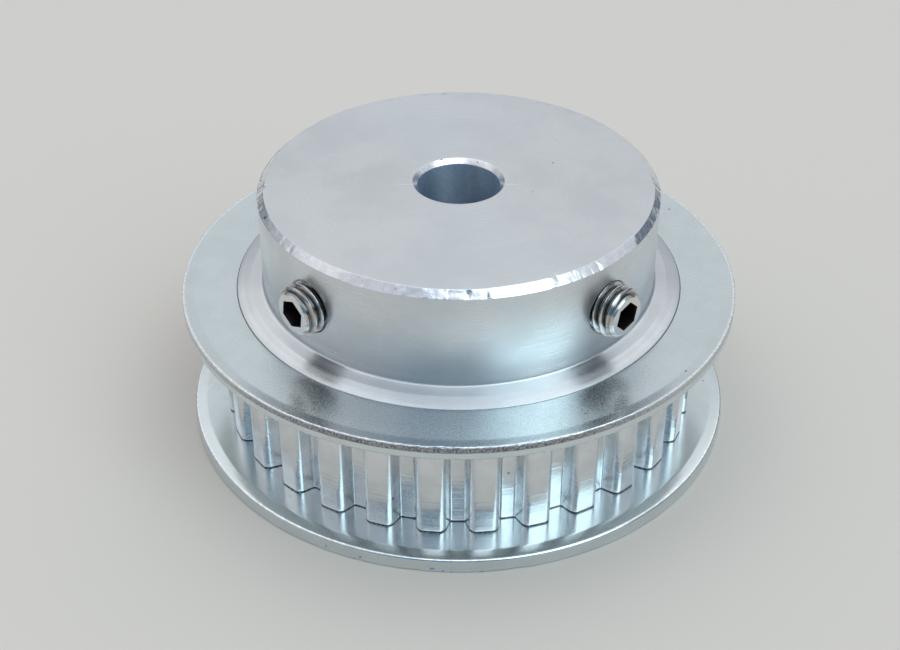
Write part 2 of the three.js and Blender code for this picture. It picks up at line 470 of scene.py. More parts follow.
def worn_point(radius, level, angle, tables):
    """Moves a point of the chamfer. Other points of the outline are left where they are."""
    along = (level - (height - HUB_CHAMFER)) / HUB_CHAMFER
    if radius < HUB_RADIUS - HUB_CHAMFER - 0.06 or along < -0.08:
        return np.full(len(angle), radius), np.full(len(angle), level)
    share = min(max(along, 0.0), 1.0)
    drop, retreat = wear_at(angle, tables)
    dent = np.zeros(len(angle))
    for middle, width, place, depth in tables[1]:
        away = (angle - middle + math.pi) % (2 * math.pi) - math.pi
        across = (share - place) / DENT_SPREAD
        dent += depth * np.exp(-(away / width) ** 2 - across ** 2)
    filed, ragged = np.array([
        (noise.noise(Vector((turn * HUB_RADIUS * 1.9, share * 2.2, 5))),
         noise.noise(Vector((turn * HUB_RADIUS * 2.7, 4, 9)))) for turn in angle]).T
    dent += FILE_DEPTH * np.maximum(0, filed + 0.2)
    drop = drop + RAGGED * np.maximum(0, ragged)
    retreat = retreat + RAGGED * np.maximum(0, -ragged)
    new_radius = radius - retreat * share - DENT_SLANT * dent * (1 if share > 0 else 0.4)
    new_level = level - drop * (1 - share) - DENT_SLANT * dent
    return new_radius, new_level


wear = wear_tables()
print(f"{FACETS} facets and {DENTS} dents round the hub's edge")

# %% [markdown]
# ## The turned body
#
# On the real pulley the hub, the lip, the flange seats and the teeth are one piece of metal.
# A boolean could join a toothed disc to a turned hub, but its seams shade badly. One closed
# outline is better. Where the outline lies outside the seats, its rings are blended towards
# the tooth outline, so the same skin runs from the bore out over the teeth and back.

# %% Body outline
FACE_GAP = 0.05
TOOTH_EDGE = 0.14
LIP_HEIGHT = 0.05
UPPER_LIP_RISE = 0.45
COLLAR_RISE = 0.62
RELIEF_WIDTH = 0.6
RELIEF_DEPTH = 0.2
CHAMFER_STEPS = 6
BODY_SPACING = 0.6

teeth_bottom = lower_flat_top + FACE_GAP
teeth_top = upper_flat_bottom - FACE_GAP


def body_outline():
    """The body's section, from the bore's lower edge outwards, up and back to the bore."""
    relief_inner = LIP_INNER - RELIEF_WIDTH
    chamfer_rows = [(HUB_RADIUS - HUB_CHAMFER * k / CHAMFER_STEPS,
                     height - HUB_CHAMFER * (CHAMFER_STEPS - k) / CHAMFER_STEPS, 0)
                    for k in range(1, CHAMFER_STEPS)]
    return rounded([
        (BORE_RADIUS, BORE_CHAMFER, 0.06),
        (BORE_RADIUS + BORE_CHAMFER, 0, 0.06),
        (relief_inner, 0, 0.08),
        ((relief_inner + LIP_INNER) / 2, RELIEF_DEPTH, 0.12),
        (LIP_INNER, 0, 0.08),
        (SEAT_RADIUS, lower_flat_bottom - LIP_HEIGHT, 0.1),
        (SEAT_RADIUS, teeth_bottom, 0),
        (tip_radius, teeth_bottom, TOOTH_EDGE),
        (tip_radius, teeth_top, TOOTH_EDGE),
        (SEAT_RADIUS, teeth_top, 0),
        (SEAT_RADIUS, upper_flat_top + LIP_HEIGHT, 0.1),
        (LIP_INNER, upper_flat_top + UPPER_LIP_RISE, 0.1),
        (HUB_RADIUS, upper_flat_top + COLLAR_RISE, 0.3),
        (HUB_RADIUS, height - HUB_CHAMFER - 0.12, 0),
        (HUB_RADIUS, height - HUB_CHAMFER, 0.03),
        *chamfer_rows,
        (HUB_RADIUS - HUB_CHAMFER, height, 0.05),
        (HUB_RADIUS - HUB_CHAMFER - 0.3, height, 0),
        (BORE_RADIUS + BORE_CHAMFER, height, 0.06),
        (BORE_RADIUS, height - BORE_CHAMFER, 0.06),
    ])


def body_rings():
    """The body's rings. Outside the seats they are blended from a circle to the teeth."""
    rings = []
    for point in divided(body_outline(), BODY_SPACING):
        share = max(0.0, (point.x - SEAT_RADIUS) / (tip_radius - SEAT_RADIUS))
        radius, level = worn_point(point.x, point.y, angles, wear)
        if share > 0:
            radius = SEAT_RADIUS + share * (tooth_radii - SEAT_RADIUS)
            level = np.full(len(angles), point.y)
        rings.append(np.stack([radius * np.sin(angles), -radius * np.cos(angles), level], axis=-1))
    return np.array(rings)


body = add_object("turned_body", ring_mesh("turned_body", body_rings()))
print(f"turned body: {len(body.data.vertices)} points")

# %% [markdown]
# ## Threads
#
# A thread is a small V-shaped profile swept along a helix, one pitch further on for each turn.
# Neighbouring turns share their edge, so the sweep is one continuous skin. A blank of the
# screw's true outline then trims it, exactly as the bar does under a real thread die. The same
# sweep, a little larger, cuts the tapped holes, and its phase is the same, so the screws are
# in mesh with their holes.

# %% Thread helper
THREAD_PITCH = 0.8
TURN_STEPS = 60
PROFILE_STEPS = 16
PROFILE_FINENESS = 10
PROFILE_SOFTENING = 8


def thread_profile(crest, root):
    """Radii across one pitch: a crest, a flank down, a root and a flank up, softly rounded."""
    across = np.linspace(0, 1, PROFILE_FINENESS * PROFILE_STEPS, endpoint=False)
    shape = np.interp(across, [0, 0.06, 0.37, 0.63, 0.94, 1], [1, 1, 0, 0, 1, 1])
    shifts = range(-PROFILE_SOFTENING, PROFILE_SOFTENING + 1)
    soft = np.array([np.roll(shape, shift) for shift in shifts]).mean(axis=0)
    return root + (crest - root) * soft[::PROFILE_FINENESS]


def thread_rod(name, crest, root, low, high):
    """A threaded rod along its own Z. Its ends are ragged, so it is made longer than needed."""
    steps = (math.ceil((high - low) / THREAD_PITCH) + 1) * TURN_STEPS
    profile = thread_profile(crest, root)
    step = np.arange(steps + 1)[:, None]
    knot = np.arange(PROFILE_STEPS)[None, :]
    angle = step * 2 * math.pi / TURN_STEPS + 0 * knot
    first = math.floor(low / THREAD_PITCH) * THREAD_PITCH
    z = first + THREAD_PITCH * (step / TURN_STEPS + knot / PROFILE_STEPS)
    points = np.stack([profile * np.cos(angle), profile * np.sin(angle), z], axis=-1).reshape(-1, 3)

    def number(step, knot):
        """Counts past the last knot of a turn into the first knot one turn on."""
        return (step + TURN_STEPS * (knot // PROFILE_STEPS)) * PROFILE_STEPS + knot % PROFILE_STEPS

    quads = [[number(s, k), number(s + 1, k), number(s + 1, k + 1), number(s, k + 1)]
             for s in range(steps) for k in range(PROFILE_STEPS)
             if number(s + 1, k + 1) < len(points)]
    used = sorted({i for quad in quads for i in quad})
    renumber = {old: new for new, old in enumerate(used)}
    mesh = bpy.data.meshes.new(name)
    quads = [[renumber[i] for i in quad] for quad in quads]
    mesh.from_pydata((points[used] * MM).tolist(), [], quads)
    close_ends(mesh)
    return mesh


def close_ends(mesh):
    """Closes each open end with a fan of triangles to a point on the axis."""
    built = bmesh.new()
    built.from_mesh(mesh)
    open_edges = [edge for edge in built.edges if edge.is_boundary]
    middle = sum((edge.verts[0].co.z for edge in open_edges), 0.0) / len(open_edges)
    for above in (False, True):
        loop = [edge for edge in open_edges if (edge.verts[0].co.z > middle) == above]
        level = sum((edge.verts[0].co.z for edge in loop), 0.0) / len(loop)
        centre = built.verts.new((0, 0, level))
        for edge in loop:
            built.faces.new((edge.verts[0], edge.verts[1], centre))
    bmesh.ops.recalc_face_normals(built, faces=built.faces)
    built.to_mesh(mesh)
    built.free()


print(f"threads of {THREAD_PITCH} mm pitch, {TURN_STEPS} steps to a turn")

# %% [markdown]
# ## Solid turned blanks
#
# A screw's blank and the cutters reach the axis, so their outline is open: it starts and ends
# on the axis. The end points become single points, and triangles fan out to the first ring.

# %% Blanks


def blank(name, outline, columns=96):
    """A solid of revolution about its own Z from (radius, level) points between its two ends
    on the axis, which are the first and last points."""
    around = np.arange(columns) * 2 * math.pi / columns
    rings = circle_rings([Vector(point) for point in outline[1:-1]], around)
    rows = len(rings)
    points = rings.reshape(-1, 3).tolist() + [[0, 0, outline[0][1]], [0, 0, outline[-1][1]]]
    low, high = len(points) - 2, len(points) - 1
    faces = []
    for column in range(columns):
        right = (column + 1) % columns
        faces.append((low, right, column))
        faces.append((high, (rows - 1) * columns + column, (rows - 1) * columns + right))
        for row in range(rows - 1):
            low_left, low_right = row * columns + column, row * columns + right
            faces.append((low_left, low_right, low_right + columns, low_left + columns))
    mesh = bpy.data.meshes.new(name)
    mesh.from_pydata([[value * MM for value in point] for point in points], [], faces)
    return mesh


# %% [markdown]
# ## Set screws
#
# Each screw is the threaded rod crossed with its blank: a chamfer at the socket end, the plain
# thread, and a cup point that bites into the shaft. A hexagonal key with a drill's cone under
# it is then taken out. Each screw is turned in by its own amount, as screws always are. Its
# local Z axis points outwards and starts in the socket's end face.

# %% Set screws
SCREW_CREST = 2.5
SCREW_ROOT = 2.0
SCREW_LENGTH = 8.0
SCREW_PROUD = {-1: 1.8, 1: 2.1}
SCREW_CHAMFER = 0.62
CUP_RADIUS = 1.3
CUP_DEPTH = 0.6
HEX_FLATS = 2.5
HEX_DEPTH = 2.6
HEX_TURN = {-1: math.radians(22), 1: math.radians(16)}


def screw_place(side):
    """Local axes of a screw: X round the hub, Y up and Z outward, 45 degrees from the front."""
    angle = side * math.pi / 4
    across = Vector((math.cos(angle), math.sin(angle), 0))
    outward = Vector((math.sin(angle), -math.cos(angle), 0))
    turn = Matrix((across, Vector((0, 0, 1)), outward)).transposed().to_4x4()
    start = outward * (HUB_RADIUS + SCREW_PROUD[side]) + Vector((0, 0, screw_level))
    return Matrix.Translation(start * MM) @ turn


def socket_key(turn):
    """The hexagonal cutter for a socket, with the cone that its drill leaves below it."""
    corner = HEX_FLATS / 2 / math.cos(math.radians(30))
    six = np.arange(6) * math.pi / 3 + turn + math.pi / 2
    rings = circle_rings([Vector((corner, -HEX_DEPTH)), Vector((corner, 1))], six)
    mesh = bpy.data.meshes.new("key")
    faces = [(i, (i + 1) % 6, 6 + (i + 1) % 6, 6 + i) for i in range(6)]
    mesh.from_pydata((rings.reshape(-1, 3) * MM).tolist(), [],
                     faces + [(5, 4, 3, 2, 1, 0), (6, 7, 8, 9, 10, 11)])
    key = add_object("key", mesh)
    drill = HEX_FLATS / 2 - 0.02
    cone = [(0, -HEX_DEPTH - 0.65), (drill, -HEX_DEPTH + 0.05), (drill, -HEX_DEPTH + 0.3),
            (0, -HEX_DEPTH + 0.3)]
    combine(key, add_object("cone", blank("cone", cone)), "UNION")
    return key


def set_screw(name, side):
    """A threaded rod trimmed to its blank, with the socket taken out, set in its place."""
    rod = add_object(name, thread_rod(name, SCREW_CREST, SCREW_ROOT, -SCREW_LENGTH - 1, 1))
    outer = SCREW_CREST + 0.02
    outline = [(0, CUP_DEPTH - SCREW_LENGTH), (CUP_RADIUS, -SCREW_LENGTH),
               (CUP_RADIUS + 0.12, -SCREW_LENGTH), (outer, 1 - SCREW_LENGTH),
               (outer, -SCREW_CHAMFER - 0.06), (outer - SCREW_CHAMFER + 0.02, -0.03),
               (outer - SCREW_CHAMFER - 0.02, 0), (0, 0)]
    combine(rod, add_object("blank", blank("blank", outline)), "INTERSECT")
    combine(rod, socket_key(HEX_TURN[side]), "DIFFERENCE")
    rod.matrix_world = screw_place(side)
    smooth_shaded(rod, sharp_from=32)
    print(f"{name}: {len(rod.data.vertices)} points")
    return rod


left_screw = set_screw("left_hex_screw", -1)
right_screw = set_screw("right_hex_screw", 1)

# %% [markdown]
# ## Tapped holes
#
# A tap leaves the screw's own thread in the wall, a hair larger. The cutter is that thread
# with a cone at the mouth, where the drill edge was broken before tapping. It is built in the
# screw's own local axes, so that the two threads are in phase.

# %% Tapped holes
THREAD_CLEARANCE = 0.05
MOUTH_RADIUS = 2.72
HOLE_END_RADIUS = 1.5


def tap_hole(side):
    """Cuts one threaded hole from outside the hub, through its wall and into the bore."""
    surface = -SCREW_PROUD[side]
    inside, outside = surface - HUB_RADIUS + HOLE_END_RADIUS, surface + 1
    rod = add_object("tap", thread_rod("tap", SCREW_CREST + THREAD_CLEARANCE, SCREW_ROOT + 0.12,
                                       inside - 0.5, outside + 1))
    outer = SCREW_CREST + 2 * THREAD_CLEARANCE
    trim = [(0, inside), (outer, inside), (outer, outside), (0, outside)]
    combine(rod, add_object("trim", blank("trim", trim)), "INTERSECT")
    narrow = SCREW_ROOT
    cone = [(0, surface - 1), (narrow, surface - (MOUTH_RADIUS - narrow)),
            (MOUTH_RADIUS + 2, surface + 2), (0, surface + 2)]
    combine(rod, add_object("mouth", blank("mouth", cone)), "UNION")
    rod.matrix_world = screw_place(side)
    combine(body, rod, "DIFFERENCE")


for side in (-1, 1):
    tap_hole(side)
smooth_shaded(body)
print(f"turned body with its tapped holes: {len(body.data.vertices)} points")

# %% [markdown]
# ## Pressed flanges
#
# A flange is blanked from sheet and its outer band is pressed a little away from the belt, so
# that the belt never rubs on an edge. Blanking shears the sheet through part of its thickness
# and then tears the rest, so part of the rim is smooth and part of it is rough, with a thin
# burr on the torn side. The lower flange is the same ring turned over, and its torn side faces
# down. The tearing is modelled in the rim's own rows of points.

# %% Flanges
FLANGE_COLUMNS = 1200
FLANGE_SPACING = 0.45
SEAT_GAP = 0.03
TEAR_DEPTH = 0.13
TEAR_SHARE = 0.5
WORST_SIDE = -4
WORST_SPREAD = 27


def flange_outline():
    """The section of a flange whose bend rises, in radius and height above its belt side."""
    inner = SEAT_RADIUS + SEAT_GAP
    bend = flange_radius - BEND_WIDTH
    rim_rows = [(flange_radius, BEND_RISE + SHEET * k / 12, 0) for k in range(4, 12)]
    return rounded([
        (inner, 0, 0.08),
        (bend, 0, 1.6),
        (flange_radius, BEND_RISE, 0.3),
        *rim_rows,
        (flange_radius, BEND_RISE + SHEET, 0.1),
        (bend, SHEET, 1.6),
        (inner, SHEET, 0.08),
    ], steps=6)


def torn(point, around, seed, strength):
    """How far the rim is torn inwards at each angle, for one point of the section."""
    share = (point.y - BEND_RISE) / SHEET
    zone = max(0.0, min(1.0, (share - (1 - TEAR_SHARE)) / 0.12))
    if point.x < flange_radius - 0.2 or zone == 0:
        return np.zeros(len(around))
    depths = []
    for angle, strong in zip(around, strength):
        place = Vector((angle * flange_radius, point.y * 2.4, seed))
        coarse = noise.noise(place * 0.9)
        fine = noise.noise(place * 3.1)
        depths.append(strong * max(0.0, 0.35 + 0.7 * coarse + 0.75 * fine))
    return TEAR_DEPTH * zone * np.array(depths)


def tear_strength(around, worst, spread, least):
    """Strongest round one angle, as the punch wore on one side."""
    away = np.abs((around - worst + math.pi) % (2 * math.pi) - math.pi)
    return least + (1 - least) * np.exp(-(away / spread) ** 4)


def flange(name, belt_level, way, seed, least):
    """One flange. Its bend goes away from the belt, upwards when way is +1 and downwards when it
    is -1. least is how torn the rim is on its best side, as a share of its worst."""
    around = np.arange(FLANGE_COLUMNS) * 2 * math.pi / FLANGE_COLUMNS
    strength = tear_strength(around, math.radians(WORST_SIDE), math.radians(WORST_SPREAD), least)
    rings = []
    for point in divided(flange_outline(), FLANGE_SPACING):
        radius = point.x - torn(point, around, seed, strength)
        level = np.full(len(around), belt_level + way * point.y)
        rings.append(np.stack([radius * np.sin(around), -radius * np.cos(around), level], axis=-1))
    if way < 0:
        rings.reverse()
    piece = add_object(name, ring_mesh(name, np.array(rings)))
    smooth_shaded(piece, sharp_from=40)
    print(f"{name}: {len(piece.data.vertices)} points")
    return piece


height_of_rim = upper_flat_top + BEND_RISE
lower_ring = flange("lower_flange_ring", lower_flat_top, way=-1, seed=3.0, least=0.12)
upper_ring = flange("upper_flange_ring", upper_flat_bottom, way=1, seed=8.0, least=0.25)

# %% [markdown]
# ## Shared surface effects
#
# The three metals differ in colour and gloss but share the ways in which a surface is never
# perfect: rings left by a cutting tool, patches that are a little duller, hairline scratches
# and small dark specks. Each effect is one node group, built once. It takes a position in
# millimetres and gives back a plain value, and each metal decides what to do with it.

# %% Node groups


def new_group(name, inputs, outputs):
    """A shader node group with named sockets. Returns its tree, its inputs and its end node."""
    tree = bpy.data.node_groups.new(name, "ShaderNodeTree")
    for title, kind, value in inputs:
        socket = tree.interface.new_socket(title, in_out="INPUT", socket_type=kind)
        if value is not None:
            socket.default_value = value
    for title, kind in outputs:
        tree.interface.new_socket(title, in_out="OUTPUT", socket_type=kind)
    start, end = tree.nodes.new("NodeGroupInput"), tree.nodes.new("NodeGroupOutput")
    return tree, start.outputs, end


def maths(tree, operation, first, second=0.0, clamp=False):
    return add_node(tree, "ShaderNodeMath", {0: first, 1: second}, operation=operation,
                    use_clamp=clamp).outputs["Value"]


def ramp(tree, value, low, high, to_low=0.0, to_high=1.0):
    """Maps low..high smoothly to another range, and holds it beyond both ends."""
    return add_node(tree, "ShaderNodeMapRange", {
        "Value": value, "From Min": low, "From Max": high, "To Min": to_low, "To Max": to_high,
    }, interpolation_type="SMOOTHSTEP").outputs["Result"]


def radius_and_level(tree, position):
    """The distance from the turning axis and the level along it."""
    parts = add_node(tree, "ShaderNodeSeparateXYZ", {"Vector": position})
    flat = add_node(tree, "ShaderNodeCombineXYZ", {"X": parts.outputs["X"], "Y": parts.outputs["Y"]})
    radius = add_node(tree, "ShaderNodeVectorMath", {0: flat.outputs["Vector"]}, operation="LENGTH")
    return radius.outputs["Value"], parts.outputs["Z"]


FLOAT, VECTOR = "NodeSocketFloat", "NodeSocketVector"


def build_turning_marks():
    """Rings by radius on a face and by level on a wall, as a lathe tool leaves them."""
    tree, given, end = new_group(
        "turning_marks",
        [("Position", VECTOR, None), ("Rings per mm", FLOAT, 3.0), ("Unevenness", FLOAT, 0.5)],
        [("Marks", FLOAT)])
    radius, level = radius_and_level(tree, given["Position"])
    along = maths(tree, "ADD", radius, maths(tree, "MULTIPLY", level, 1.37))
    rings = add_node(tree, "ShaderNodeTexNoise", {
        "W": along, "Scale": given["Rings per mm"], "Detail": 4.0, "Roughness": 0.72,
    }, noise_dimensions="1D").outputs["Fac"]
    patches = add_node(tree, "ShaderNodeTexNoise", {
        "Vector": given["Position"], "Scale": 0.22, "Detail": 2.0,
    }).outputs["Fac"]
    depth = maths(tree, "SUBTRACT", 1.0, maths(tree, "MULTIPLY", patches, given["Unevenness"]))
    centred = maths(tree, "MULTIPLY", maths(tree, "SUBTRACT", rings, 0.5), depth)
    tree.links.new(maths(tree, "ADD", centred, 0.5), end.inputs["Marks"])
    return tree


def build_patches():
    """Cloudy dull areas and a fine grain on top of them."""
    tree, given, end = new_group(
        "cloudy_patches",
        [("Position", VECTOR, None), ("Patch size", FLOAT, 5.0), ("Grain size", FLOAT, 0.25)],
        [("Patches", FLOAT), ("Grain", FLOAT)])
    cloud = add_node(tree, "ShaderNodeTexNoise", {
        "Vector": given["Position"], "Scale": maths(tree, "DIVIDE", 1.0, given["Patch size"]),
        "Detail": 4.0, "Roughness": 0.6,
    }).outputs["Fac"]
    grain = add_node(tree, "ShaderNodeTexNoise", {
        "Vector": given["Position"], "Scale": maths(tree, "DIVIDE", 1.0, given["Grain size"]),
        "Detail": 3.0, "Roughness": 0.65,
    }).outputs["Fac"]
    tree.links.new(ramp(tree, cloud, 0.36, 0.66), end.inputs["Patches"])
    tree.links.new(grain, end.inputs["Grain"])
    return tree


def build_scratches():
    """Hairlines: thin level lines of a noise that is stretched along one direction."""
    tree, given, end = new_group(
        "hairline_scratches",
        [("Position", VECTOR, None), ("Turn", FLOAT, 0.6), ("Amount", FLOAT, 0.5)],
        [("Scratches", FLOAT)])
    turned = add_node(tree, "ShaderNodeVectorRotate", {
        "Vector": given["Position"], "Angle": given["Turn"],
    }, rotation_type="Z_AXIS").outputs["Vector"]
    stretched = add_node(tree, "ShaderNodeVectorMath", {0: turned, 1: (0.06, 1.6, 0.5)},
                         operation="MULTIPLY").outputs["Vector"]
    lines = add_node(tree, "ShaderNodeTexNoise", {
        "Vector": stretched, "Scale": 1.0, "Detail": 2.0, "Roughness": 0.5,
    }).outputs["Fac"]
    near = maths(tree, "ABSOLUTE", maths(tree, "SUBTRACT", lines, 0.5))
    thin = ramp(tree, near, 0.0, 0.006, 1.0, 0.0)
    where = add_node(tree, "ShaderNodeTexNoise", {
        "Vector": given["Position"], "Scale": 0.45,
    }).outputs["Fac"]
    here = ramp(tree, where, 0.52, 0.66)
    tree.links.new(maths(tree, "MULTIPLY", maths(tree, "MULTIPLY", thin, here), given["Amount"]),
                   end.inputs["Scratches"])
    return tree


def build_specks():
    """Small dark dots, each in its own random cell, most of the cells left empty."""
    tree, given, end = new_group(
        "dark_specks",
        [("Position", VECTOR, None), ("Cell size", FLOAT, 2.0), ("Speck size", FLOAT, 0.1),
         ("Share of cells", FLOAT, 0.2)],
        [("Specks", FLOAT)])
    cells = add_node(tree, "ShaderNodeTexVoronoi", {
        "Vector": given["Position"], "Scale": maths(tree, "DIVIDE", 1.0, given["Cell size"]),
    })
    size = maths(tree, "DIVIDE", given["Speck size"], given["Cell size"])
    pick = add_node(tree, "ShaderNodeSeparateColor", {"Color": cells.outputs["Color"]})
    chosen = maths(tree, "LESS_THAN", pick.outputs["Red"], given["Share of cells"])
    own_size = maths(tree, "MULTIPLY", size, maths(tree, "ADD", pick.outputs["Green"], 0.4))
    fall = maths(tree, "DIVIDE", cells.outputs["Distance"], own_size)
    dot = ramp(tree, fall, 0.5, 1.0, 1.0, 0.0)
    tree.links.new(maths(tree, "MULTIPLY", dot, chosen), end.inputs["Specks"])
    return tree


GROUPS = {tree.name: tree for tree in (build_turning_marks(), build_patches(),
                                       build_scratches(), build_specks())}
print("node groups:", ", ".join(GROUPS))

# %% [markdown]
# ## Starting a metal
#
# All five finishes begin in the same way: a fully metallic shader and a position in millimetres
# from the piece's own axes, so that the finish stays on the piece when it moves. The effects are
# then layered, first in the colour, then in the roughness and last in the bumps. A few helpers
# keep each finish short enough to read as a recipe.

# %% Material helpers


def new_metal(name, roughness, anisotropy=0.0):
    """A metal to be finished below: its tree, its shader and its position in millimetres. The
    roughness given here holds until the finish feeds in its own."""
    material = bpy.data.materials.new(name)
    material.use_nodes = True
    tree = material.node_tree
    shader = tree.nodes["Principled BSDF"]
    shader.inputs["Metallic"].default_value = 1.0
    shader.inputs["Roughness"].default_value = roughness
    shader.inputs["Anisotropic"].default_value = anisotropy
    objects_own = add_node(tree, "ShaderNodeTexCoord").outputs["Object"]
    position = add_node(tree, "ShaderNodeVectorMath", {0: objects_own, "Scale": 1 / MM},
                        operation="SCALE").outputs["Vector"]
    return material, tree, shader, position


def effect(tree, name, position, **values):
    """Places a node group in a material. An underscore in a value's name stands for a space."""
    placed = tree.nodes.new("ShaderNodeGroup")
    placed.node_tree = GROUPS[name]
    tree.links.new(position, placed.inputs["Position"])
    for title, value in values.items():
        placed.inputs[title.replace("_", " ")].default_value = value
    return placed.outputs


def blend_colours(tree, share, first, second):
    """The first colour where the share is 0 and the second where it is 1."""
    mixed = add_node(tree, "ShaderNodeMix", {"Factor": share}, data_type="RGBA")
    for socket, colour in ((mixed.inputs[6], first), (mixed.inputs[7], second)):
        if isinstance(colour, bpy.types.NodeSocket):
            tree.links.new(colour, socket)
        else:
            socket.default_value = (*colour, 1)
    return mixed.outputs[2]


def add_bump(tree, shader, layers):
    """Chains bumps of (height, depth in mm) and feeds the shader's normal."""
    normal = None
    for height_value, depth in layers:
        bump = add_node(tree, "ShaderNodeBump", {"Height": height_value, "Distance": depth * MM,
                                                 "Strength": 1.0})
        if normal is not None:
            tree.links.new(normal, bump.inputs["Normal"])
        normal = bump.outputs["Normal"]
    tree.links.new(normal, shader.inputs["Normal"])


# %% [markdown]
# ## Turned aluminium
#
# Turned aluminium is bright, but its light is drawn out: the grooves run round the axis, so
# they smear reflections across themselves and leave fans on the face and upright bands on the
# wall. Anisotropy does this, with its tangent turning round the Z axis. Rings that are coarse
# enough to be seen one by one are a bump on top. Two more marks lie over them: a fine straight
# line scribed across the face beside the bore, and inside the bore a painted shade with a blue
# cast of painted reflection, which makes the metal there bluer and darker. The bore is also a
# little duller.

# %% Turned aluminium
SCRIBE_FORWARD = 0.8
SCRIBE_REACH = 6.4


def scribed_line(tree, position):
    """1 on a fine straight line scribed across the face, in front of the bore's middle."""
    parts = add_node(tree, "ShaderNodeSeparateXYZ", {"Vector": position}).outputs
    across = maths(tree, "ABSOLUTE", maths(tree, "ADD", parts["Y"], SCRIBE_FORWARD))
    thin = ramp(tree, across, 0.02, 0.06, 1.0, 0.0)
    near_bore = ramp(tree, maths(tree, "ABSOLUTE", parts["X"]), 5.2, SCRIBE_REACH, 1.0, 0.0)
    on_face = maths(tree, "GREATER_THAN", parts["Z"], height - 0.01)
    return maths(tree, "MULTIPLY", on_face, maths(tree, "MULTIPLY", thin, near_bore))


def turned_aluminium():
    material, tree, shader, position = new_metal("turned_aluminium", 0.3, 0.72)
    tangent = add_node(tree, "ShaderNodeTangent", direction_type="RADIAL", axis="Z")
    tree.links.new(tangent.outputs["Tangent"], shader.inputs["Tangent"])
    shader.inputs["Anisotropic Rotation"].default_value = 0.25
    marks = effect(tree, "turning_marks", position, Rings_per_mm=4.0)["Marks"]
    clouds = effect(tree, "cloudy_patches", position, Patch_size=6.0, Grain_size=0.3)
    scratches = effect(tree, "hairline_scratches", position, Turn=0.5, Amount=0.08)["Scratches"]
    specks = effect(tree, "dark_specks", position, Cell_size=2.3, Speck_size=0.14,
                    Share_of_cells=0.12)["Specks"]
    bright, dull = (0.735, 0.76, 0.775), (0.685, 0.71, 0.725)
    colour = blend_colours(tree, clouds["Patches"], bright, dull)
    colour = blend_colours(tree, scratches, colour, (0.95, 0.95, 0.96))
    colour = blend_colours(tree, specks, colour, (0.12, 0.12, 0.13))
    colour = blend_colours(tree, scribed_line(tree, position), colour, (0.98, 0.98, 0.98))
    radius = radius_and_level(tree, position)[0]
    # Inside the bore the colour is a painted shade with a blue cast of painted reflection, and the
    # roughness rises there.
    in_bore = ramp(tree, radius, BORE_RADIUS + 0.02, BORE_RADIUS + 0.08, 1.0, 0.0)
    bore_painted_shade = blend_colours(tree, clouds["Grain"], (0.40, 0.53, 0.69), (0.78, 0.88, 0.97))
    colour = blend_colours(tree, in_bore, colour, bore_painted_shade)
    tree.links.new(colour, shader.inputs["Base Color"])
    gloss = ramp(tree, marks, 0.3, 0.7, 0.24, 0.34)
    gloss = maths(tree, "ADD", gloss, maths(tree, "MULTIPLY", clouds["Patches"], 0.05))
    gloss = maths(tree, "ADD", gloss, maths(tree, "MULTIPLY", in_bore, 0.12))
    tree.links.new(gloss, shader.inputs["Roughness"])
    add_bump(tree, shader, [(marks, 0.0028), (clouds["Grain"], 0.0008)])
    return material


# %% [markdown]
# ## Hobbed aluminium
#
# The toothed rim is the same metal cut by another tool. The hob leaves it glossier than the
# lathe does, without grooves round the axis, but its feed leaves shallow steps one above the
# other across every tooth and groove. It is a second material on the body, given to the faces
# outside the flange seats.

# %% Hobbed aluminium


def hobbed_aluminium():
    material, tree, shader, position = new_metal("hobbed_aluminium", 0.14)
    marks = effect(tree, "turning_marks", position, Rings_per_mm=1.15, Unevenness=0.2)["Marks"]
    clouds = effect(tree, "cloudy_patches", position, Patch_size=1.8, Grain_size=0.25)
    scratches = effect(tree, "hairline_scratches", position, Turn=1.1, Amount=0.5)["Scratches"]
    specks = effect(tree, "dark_specks", position, Cell_size=1.5, Speck_size=0.16,
                    Share_of_cells=0.10)["Specks"]
    colour = blend_colours(tree, clouds["Patches"], (0.80, 0.82, 0.83), (0.72, 0.74, 0.76))
    colour = blend_colours(tree, scratches, colour, (0.95, 0.95, 0.96))
    colour = blend_colours(tree, specks, colour, (0.13, 0.13, 0.14))
    level = radius_and_level(tree, position)[1]
    # A painted shade: the foot of the teeth, where they meet the lower flange, is coloured near-black,
    # broken up by the grain.
    seam_painted_shade = ramp(tree, level, teeth_bottom + 0.03, teeth_bottom + 0.15, 1.0, 0.0)
    seam_painted_shade = maths(tree, "MULTIPLY", seam_painted_shade, ramp(tree, clouds["Grain"], 0.35, 0.6, 0.9, 0.25))
    colour = blend_colours(tree, seam_painted_shade, colour, (0.05, 0.055, 0.06))
    tree.links.new(colour, shader.inputs["Base Color"])
    gloss = ramp(tree, clouds["Grain"], 0.3, 0.7, 0.13, 0.25)
    tree.links.new(gloss, shader.inputs["Roughness"])
    add_bump(tree, shader, [(marks, 0.02), (clouds["Grain"], 0.0012)])
    return material


# %% [markdown]
# ## Filed edge
#
# The file and the knocks have left the hub's chamfer brighter and smoother than the turned
# faces on both sides of it, without any turning rings. Dirt sits in its deepest nicks. The
# chamfer at the mouth of the bore was burnished by the reamer in the same way, so it shares
# this finish.

# %% Filed edge


